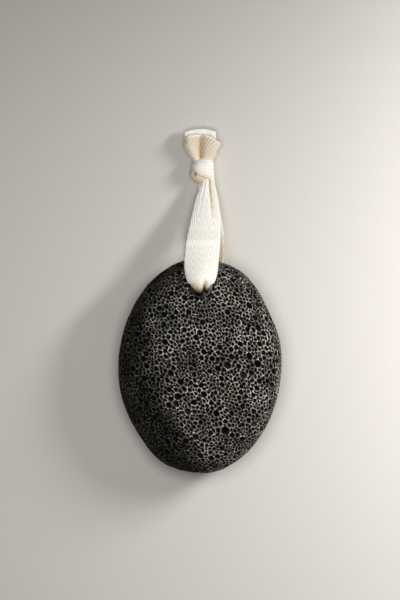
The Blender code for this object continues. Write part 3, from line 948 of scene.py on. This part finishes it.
def build_tape():
    parts = (
        strip_shell(strand_grid(), STRAND_CORNERS),
        strip_shell(end_grid(FRONT_END, FRONT_COLUMNS), FRONT_CORNERS),
        strip_shell(end_grid(BACK_END, BACK_COLUMNS), BACK_CORNERS),
        knot_shell(KNOT_MIDDLES),
    )
    starts = np.cumsum([0] + [len(part[0]) for part in parts])
    points = np.vstack([part[0] for part in parts])
    faces = np.vstack([part[1] + start for part, start in zip(parts, starts)])
    flat = np.concatenate([part[2] for part in parts]) / COTTON_SHEET
    weave = np.vstack([part[3] for part in parts])
    strength = np.repeat((1.0, FRONT_RIBS, BACK_RIBS, KNOT_RIBS), np.diff(starts))
    tan = np.concatenate([part[4] for part in parts])
    solid = faces[:, 2] != faces[:, 3]
    lists = [face.tolist() if whole else face[:3].tolist() for face, whole in zip(faces, solid)]
    corners = np.ones((len(faces), 4), bool)
    corners[~solid, 3] = False
    mesh = bpy.data.meshes.new("woven_tape")
    mesh.from_pydata((points * MM).tolist(), [], lists)
    mesh.uv_layers.new(name="OFBake").data.foreach_set("uv", flat[corners].ravel())
    mesh.attributes.new("weave", "FLOAT_VECTOR", "POINT").data.foreach_set(
        "vector", np.column_stack((weave, strength)).ravel())
    # tan: share of painted warm shade, over 1 for near-black painted shade
    mesh.attributes.new("tan", "FLOAT", "POINT").data.foreach_set("value", tan)
    mesh.validate()
    mesh.shade_smooth()
    return add_object("woven_tape", mesh)


# ================================================================ materials

def add_node(tree, kind, inputs=(), **settings):
    node = tree.nodes.new(kind)
    for name, value in settings.items():
        setattr(node, name, value)
    for name, value in dict(inputs).items():
        if isinstance(value, bpy.types.NodeSocket):
            tree.links.new(value, node.inputs[name])
        else:
            node.inputs[name].default_value = value
    return node


def maths(tree, operation, first, second=0.0, third=0.0):
    node = add_node(tree, "ShaderNodeMath", {0: first, 1: second, 2: third}, operation=operation)
    return node.outputs[0]


def ramp(tree, factor, stops):
    node = add_node(tree, "ShaderNodeValToRGB", {"Fac": factor})
    ends = node.color_ramp.elements
    while len(ends) < len(stops):
        ends.new(0.5)
    for end, (place, colour) in zip(ends, stops):
        end.position = place
        end.color = (*colour, 1.0)
    return node.outputs["Color"]


def mixed(tree, share, first, second):
    """Two colours mixed; a share under 0 or over 1 counts as 0 or 1."""
    node = add_node(tree, "ShaderNodeMix", {"Factor": share, 6: first, 7: second}, data_type="RGBA")
    return node.outputs[2]


def wave(tree, turns, size, middle):
    sine = maths(tree, "SINE", maths(tree, "MULTIPLY", turns, math.tau))
    return maths(tree, "MULTIPLY_ADD", sine, size, middle)


def varied(tree, value, field, amount, middle=0.5):
    """The value with a field's rise and fall about its middle added."""
    return maths(tree, "MULTIPLY_ADD", field, amount, maths(tree, "ADD", value, -amount * middle))


def noise(tree, where, scale, detail=3.0, roughness=0.6):
    node = add_node(tree, "ShaderNodeTexNoise", {
        "Vector": where, "Scale": scale, "Detail": detail, "Roughness": roughness})
    return node.outputs["Fac"]


def new_material(name):
    material = bpy.data.materials.new(name)
    material.use_nodes = True
    return material, material.node_tree, material.node_tree.nodes["Principled BSDF"]


def stone_material():
    material, tree, shader = new_material("worn_pumice")
    where = add_node(tree, "ShaderNodeTexCoord").outputs["Object"]
    # Tone with painted shade: dark in the pores, round the drilled hole and on the lower left side
    tone_and_shade = add_node(tree, "ShaderNodeAttribute", attribute_name="tone_and_shade").outputs["Fac"]
    patches = noise(tree, where, 160.0, 3.0)
    grain = noise(tree, where, 1050.0, 4.0, 0.75)
    blend = varied(tree, tone_and_shade, patches, amount=0.2, middle=0.55)
    blend = varied(tree, blend, grain, amount=0.64)
    colour = ramp(tree, blend, STONE_RAMP)
    for column, row, radius, tint in SPECKS:
        place = to_world(spot_at(*pixel_place(column, row))[None])[0]
        far = add_node(tree, "ShaderNodeVectorMath", {0: where, 1: place.tolist()}, operation="DISTANCE")
        near = maths(tree, "MULTIPLY_ADD", far.outputs["Value"], -2.0 / radius, 2.0)
        near = maths(tree, "MINIMUM", maths(tree, "MAXIMUM", near, 0.0), SPECK_STRENGTH)
        share = maths(tree, "MULTIPLY", near, maths(tree, "MULTIPLY", blend, SPECK_FOLLOWS))
        colour = mixed(tree, share, colour, (*tint, 1.0))
    tree.links.new(colour, shader.inputs["Base Color"])
    rough = maths(tree, "MULTIPLY_ADD", grain, 0.25, 0.62)
    tree.links.new(rough, shader.inputs["Roughness"])
    shader.inputs["Specular IOR Level"].default_value = 0.05
    bump = add_node(tree, "ShaderNodeBump", {"Strength": 0.8, "Distance": 0.12 * MM, "Height": grain})
    tree.links.new(bump.outputs["Normal"], shader.inputs["Normal"])
    return material


def cotton_material():
    material, tree, shader = new_material("woven_cotton")
    weave = add_node(tree, "ShaderNodeAttribute", attribute_name="weave").outputs["Vector"]
    split = add_node(tree, "ShaderNodeSeparateXYZ", {"Vector": weave})
    # tan: share of painted warm shade, over 1 for near-black painted shade
    tan = add_node(tree, "ShaderNodeAttribute", attribute_name="tan").outputs["Fac"]
    column = split.outputs["X"]
    slant = maths(tree, "MULTIPLY", column, math.cos(RIB_ANGLE) / RIB_PITCH)
    phase = maths(tree, "MULTIPLY_ADD", split.outputs["Y"], math.sin(RIB_ANGLE) / RIB_PITCH, slant)
    rib = wave(tree, phase, size=0.5, middle=0.5)
    where = add_node(tree, "ShaderNodeTexCoord").outputs["Object"]
    yarn = noise(tree, where, 2200.0, 2.0)
    fuzz = noise(tree, where, 500.0, 3.0)
    down_rib = maths(tree, "MULTIPLY_ADD", column, -math.sin(RIB_ANGLE) / STITCH,
                     maths(tree, "MULTIPLY", split.outputs["Y"], math.cos(RIB_ANGLE) / STITCH))
    stitch = wave(tree, down_rib, size=0.3, middle=0.7)
    furrow = maths(tree, "MULTIPLY", maths(tree, "POWER", maths(tree, "SUBTRACT", 1.0, rib), 2.5), stitch)
    rounded = maths(tree, "SUBTRACT", 1.0, maths(tree, "MULTIPLY", furrow, split.outputs["Z"]))
    height = varied(tree, rounded, yarn, amount=0.4)
    shade = varied(tree, height, fuzz, amount=0.3)
    cream = ramp(tree, shade, CREAM_RAMP)
    # Colour of the tape in painted warm shade
    warm_shade_colour = ramp(tree, shade, WARM_SHADE_RAMP)
    colour = mixed(tree, tan, cream, warm_shade_colour)
    # Painted shade, near black, where tan is over 1
    colour = mixed(tree, maths(tree, "SUBTRACT", tan, 1.0), colour, (*HOLE_SHADE_COLOUR, 1.0))
    tree.links.new(colour, shader.inputs["Base Color"])
    tree.links.new(maths(tree, "MULTIPLY_ADD", fuzz, 0.15, 0.80), shader.inputs["Roughness"])
    shader.inputs["Specular IOR Level"].default_value = 0.04
    bump = add_node(tree, "ShaderNodeBump", {"Strength": 0.7, "Distance": 0.20 * MM, "Height": height})
    tree.links.new(bump.outputs["Normal"], shader.inputs["Normal"])
    return material


def floor_material():
    material, tree, shader = new_material("pale_floor")
    where = add_node(tree, "ShaderNodeTexCoord").outputs["Object"]
    grain = noise(tree, where, 900.0, 3.0)
    tree.links.new(ramp(tree, grain, FLOOR_RAMP), shader.inputs["Base Color"])
    shader.inputs["Roughness"].default_value = 0.8
    shader.inputs["Specular IOR Level"].default_value = 0.2
    return material


# ================================================================ scene

def add_floor():
    mesh = bpy.data.meshes.new("floor")
    shape = bmesh.new()
    bmesh.ops.create_grid(shape, x_segments=1, y_segments=1, size=FLOOR_REACH)
    shape.to_mesh(mesh)
    shape.free()
    mesh.materials.append(floor_material())
    item = add_object("floor", mesh)
    return item


def add_camera():
    data = bpy.data.cameras.new("camera")
    data.sensor_width = SENSOR
    data.lens = SENSOR * (CAMERA_HEIGHT - OUTLINE_HEIGHT) / (IMAGE_LONG_SIDE * PIXEL)
    data.clip_start = 0.01
    data.clip_end = 10.0
    item = add_object("camera", data)
    item.location = (*pixel_place(*IMAGE_MIDDLE), CAMERA_HEIGHT)
    bpy.context.scene.camera = item


def add_lamp(name, place, target, size, power):
    data = bpy.data.lights.new(name, "AREA")
    data.shape = "DISK"
    data.size = size
    data.energy = power
    item = add_object(name, data)
    item.location = place
    item.rotation_euler = (Vector(target) - Vector(place)).to_track_quat("-Z", "Y").to_euler()


def add_light():
    add_lamp("key", *KEY_LAMP)
    add_lamp("fill", *FILL_LAMP)
    world = bpy.data.worlds.new("room")
    world.use_nodes = True
    back = world.node_tree.nodes["Background"]
    back.inputs["Color"].default_value = (1.0, 1.0, 1.0, 1.0)
    back.inputs["Strength"].default_value = ROOM_LIGHT
    bpy.context.scene.world = world


def main():
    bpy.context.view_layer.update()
    rng = np.random.default_rng(SEED)
    bpy.context.scene.view_settings.view_transform = "Standard"
    add_camera()
    add_light()
    floor = add_floor()
    stone = build_stone(rng)
    stone.data.materials.append(stone_material())
    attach(stone, "root")
    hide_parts("pumice_stone")
    tape = build_tape()
    tape.data.materials.append(cotton_material())
    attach(tape, "root")
    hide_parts("cotton_tape")


main()
